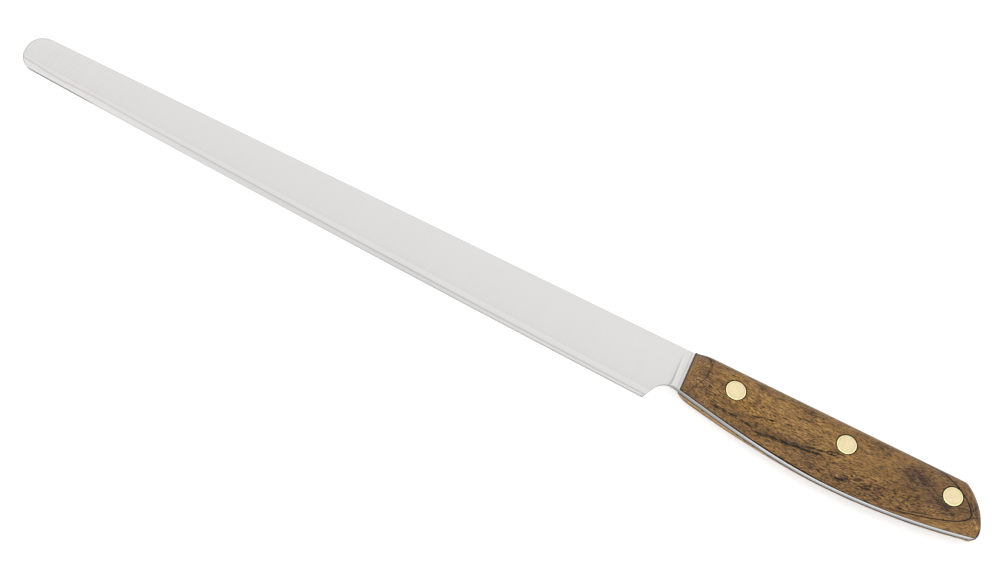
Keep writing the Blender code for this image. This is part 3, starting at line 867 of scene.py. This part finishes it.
# Streaks: place, depth, half length, half width, rise in degrees and darkness, with ragged borders
dark = 0.0
for x, depth, length, width, rise, strength in (
    (36.6, 20.2, 3.0, 0.41, 0, 0.95), (41.0, 20.0, 2.4, 0.51, -3, 0.9),
    (46.8, 19.5, 6.2, 0.33, 5, 1.0), (53.4, 18.6, 3.2, 0.41, 8, 0.8),
    (51.6, 17.5, 3.4, 0.34, 14, 1.0), (57.6, 15.7, 2.8, 0.32, 20, 1.0),
    (61.0, 14.9, 2.0, 0.32, 2, 0.95), (54.6, 17.0, 3.0, 0.36, 12, 0.9),
    (58.6, 16.6, 2.4, 0.34, 8, 1.0), (29.2, 15.9, 2.4, 0.34, 17, 1.0),
    (33.8, 14.9, 2.2, 0.34, 12, 1.0), (34.8, 15.6, 1.2, 0.21, 10, 0.7),
    # The first streak below, along the top of the front ramp, is painted shade where the surface
    # falls away
    (2.9, 2.0, 3.2, 0.41, -11, 1.0), (5.4, 3.0, 1.4, 0.41, -50, 0.75),
    (6.8, 5.4, 1.8, 0.33, -78, 0.6), (6.6, 8.6, 1.6, 0.33, -82, 0.5),
    (117.9, 16.6, 0.5, 1.8, 0, 1.0), (12.1, 17.2, 0.4, 1.2, 0, 0.35),
    (14.0, 18.3, 1.6, 0.28, -8, 0.9), (17.0, 18.5, 1.6, 0.30, -14, 0.9),
    (20.6, 18.8, 1.6, 0.33, 0, 0.95), (24.6, 19.4, 1.0, 0.25, -6, 0.8),
    (26.8, 19.6, 1.8, 0.33, -4, 0.95), (32.0, 20.6, 2.2, 0.28, -2, 0.9),
    (31.4, 21.3, 1.6, 0.21, 4, 0.7), (44.6, 8.5, 2.6, 0.28, 7, 0.9),
    (48.0, 5.1, 3.4, 0.22, 12, 0.6), (64.6, 22.4, 2.2, 0.35, 8, 0.95),
    (67.2, 21.6, 1.6, 0.28, 20, 0.8), (70.0, 20.6, 1.8, 0.30, 24, 0.75),
    (74.6, 21.6, 1.8, 0.28, 12, 0.8), (75.4, 20.3, 3.6, 0.25, 10, 0.7),
    (84.4, 9.6, 1.3, 0.30, 6, 0.7), (86.6, 10.6, 1.2, 0.28, -10, 0.6),
    (89.0, 11.8, 1.5, 0.30, -14, 0.6), (92.0, 9.6, 2.2, 0.33, 0, 0.6),
    (89.6, 18.1, 0.6, 0.33, 10, 0.7), (98.4, 14.2, 2.0, 0.41, -12, 0.5),
    (102.4, 14.8, 1.6, 0.33, -6, 0.5), (96.6, 20.2, 1.8, 0.33, 14, 0.6),
    (93.6, 21.0, 1.8, 0.28, 12, 0.8), (88.6, 22.0, 1.6, 0.33, 8, 0.85),
    (90.2, 22.6, 1.4, 0.17, 8, 0.7),
):
    sockets = {"Vector": drawn_at, "Location": (x, depth, 0), "Scale": (length, width, 1000)}
    sockets["Rotation"] = (0, 0, np.radians(-rise))
    at = add(tree, "Mapping", sockets, vector_type="TEXTURE")
    reach = add(tree, "VectorMath", {0: at}, operation="LENGTH").outputs[1]
    ragged = add(tree, "Math", {0: pores, 1: 4.0, 2: reach}, operation="MULTIPLY_ADD")
    mark = add(tree, "MapRange", {0: ragged, 1: 3.0, 2: 2.7, 4: strength}, **soft)
    dark = add(tree, "Math", {0: mark, 1: dark}, operation="MAXIMUM")
body = add(tree, "Mix", {0: dark, 6: body, 7: colour("1D1A18")}, data_type="RGBA").outputs[2]

# Painted shade round the rivets' seats and along the tang on both scales, and at the foot of the
# front end darker end grain with painted shade
dark = 0.0
foot = add(tree, "SeparateXYZ", {0: grain}).outputs["X"]
for distance, reach, full, strength in (
    (rings.outputs[2], 0.30, 0.0, 0.6), (border.outputs[0], 1.25, 0.85, 1.0),
    (border.outputs[1], 0.50, 0.25, 0.9), (foot, 0.45, 0.22, 0.8),
):
    mark = add(tree, "MapRange", {0: distance, 1: reach, 2: full, 4: strength}, **soft)
    dark = add(tree, "Math", {0: mark, 1: dark}, operation="MAXIMUM")
body = add(tree, "Mix", {0: dark, 6: body, 7: colour("1F150E")}, data_type="RGBA").outputs[2]
rough = add(tree, "Math", {0: tone, 1: 0.12, 2: 0.38}, operation="MULTIPLY_ADD")
gloss = add(tree, "MapRange", {0: dark, 3: 0.13, 4: 0.03})
bump = add(tree, "Bump", {"Strength": 0.35, "Distance": 0.00006, "Height": tone})
connect(tree, shader, {"Base Color": body, "Roughness": rough, "Normal": bump})
connect(tree, shader, {"Specular IOR Level": gloss})

# Brass, sanded flush with the wood and buffed: fine upright scratches, and a rounded rim made
# paler by a painted highlight, with painted shade in a ring just inside it
brass, tree, shader = new_material("turned_brass")
coordinate = add(tree, "TexCoord").outputs["Object"]
at = add(tree, "Mapping", {"Vector": coordinate, "Scale": (1000 / 0.3, 1000 / 7, 1000 / 7)})
scratches = add(tree, "TexNoise", {"Vector": at, "Scale": 1.0, "Detail": 2.0, "Roughness": 0.6})
at = add(tree, "Mapping", {"Vector": coordinate, "Scale": 3 * (1000 / 1.6,)})
clouds = add(tree, "TexNoise", {"Vector": at, "Scale": 1.0, "Detail": 2.0})
level = add(tree, "Math", {0: scratches, 1: 0.30, 2: 0.73}, operation="MULTIPLY_ADD")
level = add(tree, "Math", {0: clouds, 1: 0.24, 2: level}, operation="MULTIPLY_ADD")
turned_at = add(tree, "Attribute", attribute_name="turned").outputs["Vector"]
radius = add(tree, "SeparateXYZ", {0: turned_at}).outputs["X"]
across = add(tree, "MapRange", {0: radius, 1: 2.75, 2: head_radius})
# Paler towards the rim: a painted highlight on the rim, and painted shade in the darker ring inside
# it
stops = ((0.0, "F0DFB4"), (0.30, "E2CB98"), (0.48, "EAD6A2"), (0.60, "FFF9C6"), (1.0, "FFFDCC"))
tint = add(tree, "ValToRGB", {0: across}, stops)
toned = add(tree, "VectorMath", {0: tint, 3: level}, operation="SCALE")
rough = add(tree, "Math", {0: scratches, 1: 0.16, 2: 0.20}, operation="MULTIPLY_ADD")
bump = add(tree, "Bump", {"Strength": 0.2, "Distance": 0.00002, "Height": scratches})
connect(tree, shader, {"Base Color": toned, "Metallic": 1.0, "Roughness": rough, "Normal": bump})

# Rivets and the cutters for their holes
cutters, rivets = [], []
for where, x in rivet_places.items():
    for kind, profile in (("post", post_profile()), ("sleeve", sleeve_profile())):
        piece = made_mesh(f"brass_{kind}_{where}", turned_patch(profile, x), brass)
        smooth(piece.data, 40)
        map_brass(piece.data, x)
        rivets.append((piece, f"rivet_{kind}_{where}"))
    cutters.append(made_mesh("hole_" + where, turned_patch(hole_profile(), x), brass))

# Steel
blade = made_mesh("steel_blade", steel_patches(), steel)
drill(blade, cutters)
smooth(blade.data, 30)
crease_facets(blade.data)
map_steel(blade.data)

# Scales
scales = []
for where, side in (("front", 1), ("back", -1)):
    piece = made_mesh(f"wood_{where}_scale", scale_patches(side), wood)
    drill(piece, cutters)
    smooth(piece.data, 30)
    map_wood(piece.data, side)
    scales.append((piece, where + "_scale"))
for cutter in cutters:
    bpy.data.objects.remove(cutter)

for piece, node, slot in (
    [(blade, "blade_and_tang", "ground_steel")]
    + [(piece, node, "hardwood") for piece, node in scales]
    + [(piece, node, "brass") for piece, node in rivets]
):
    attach(piece, "root")
    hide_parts(node)


def looked_at(tree):
    """1 for rays that see a surface, mirrored or through glass too, and 0 for those that light."""
    rays = add(tree, "LightPath").outputs
    seen = rays["Is Camera Ray"]
    for kind in ("Glossy", "Transmission"):
        seen = add(tree, "Math", {0: seen, 1: rays[f"Is {kind} Ray"]}, operation="MAXIMUM")
    return seen


# Floor and lamps
floor_mesh = bpy.data.meshes.new("floor")
floor_mesh.from_pydata([(-6, -6, 0), (6, -6, 0), (6, 6, 0), (-6, 6, 0)], [], [(0, 1, 2, 3)])
floor = bpy.data.objects.new("floor", floor_mesh)
bpy.context.scene.collection.objects.link(floor)
pale, tree, shader = new_material("pale_table_top")
connect(tree, shader, {"Base Color": colour("F4F4F4"), "Roughness": 0.9, "Specular IOR Level": 0.1})
lift = add(tree, "Math", {0: looked_at(tree), 1: 0.45}, operation="MULTIPLY")
connect(tree, shader, {"Emission Color": (1, 1, 1, 1), "Emission Strength": lift})
floor_mesh.materials.append(pale)


def lamp(name, direction, distance, size, strength):
    """A soft square lamp that looks at the knife from a direction."""
    data = bpy.data.lights.new(name, "AREA")
    data.shape, data.size, data.energy = "SQUARE", size, strength
    lamp = bpy.data.objects.new(name, data)
    back = np.array(direction, float) / np.linalg.norm(direction)
    side = np.cross((0, 0, 1), back)
    side /= np.linalg.norm(side)
    turn = Matrix(np.stack((side, np.cross(back, side), back), -1).tolist()).to_4x4()
    lamp.matrix_world = Matrix.Translation((back * distance).tolist()) @ turn
    lamp.visible_camera = False
    bpy.context.scene.collection.objects.link(lamp)


lamp("key_front_left", (-0.55, -0.65, 0.60), 1.4, 0.9, 4.5)
lamp("broad_back_right", (0.75, 0.45, 0.50), 1.6, 1.2, 1.0)
lamp("small_front_right", (0.45, -0.60, 0.75), 1.4, 0.35, 0.8)

world = bpy.data.worlds.new("room")
world.use_nodes = True
bpy.context.scene.world = world
tree = world.node_tree
level = add(tree, "Mix", {0: looked_at(tree), 2: 0.84, 3: 1.0}, data_type="FLOAT")
connect(tree, tree.nodes["Background"], {"Color": (1, 1, 1, 1), "Strength": level})

# Camera: a long lens, turned as the photograph looks at the knife. The anchor, on the spine at the
# front of the scales, shows at the column and row of the picture that are given for it.
picture_width = 0.35458  # metres across the frame at the knife
columns, rows = 1000, 573
anchor = place(np.array((0.69, 0.0, tang_half)))
anchor_column, anchor_row = 697.25, 354.25
lens = 600.0
camera_data = bpy.data.cameras.new("camera")
camera_data.sensor_width, camera_data.lens = 36.0, lens
camera = bpy.data.objects.new("camera", camera_data)
bpy.context.scene.collection.objects.link(camera)
bpy.context.scene.camera = camera
right = np.array((0.89715, 0.35335, 0.26508))
up = np.array((-0.43773, 0.78554, 0.43740))
right /= np.linalg.norm(right)
up -= right * (up @ right)
up /= np.linalg.norm(up)
back = np.cross(right, up)
scale = picture_width / columns
middle = anchor - right * (anchor_column - columns / 2) * scale
middle += up * (anchor_row - rows / 2) * scale
distance = picture_width * lens / 36.0
turn = Matrix(np.stack((right, up, back), -1).tolist()).to_4x4()
camera.matrix_world = Matrix.Translation((middle + back * distance).tolist()) @ turn
camera_data.clip_start, camera_data.clip_end = 0.1, 60.0
bpy.context.scene.view_settings.view_transform = "Standard"
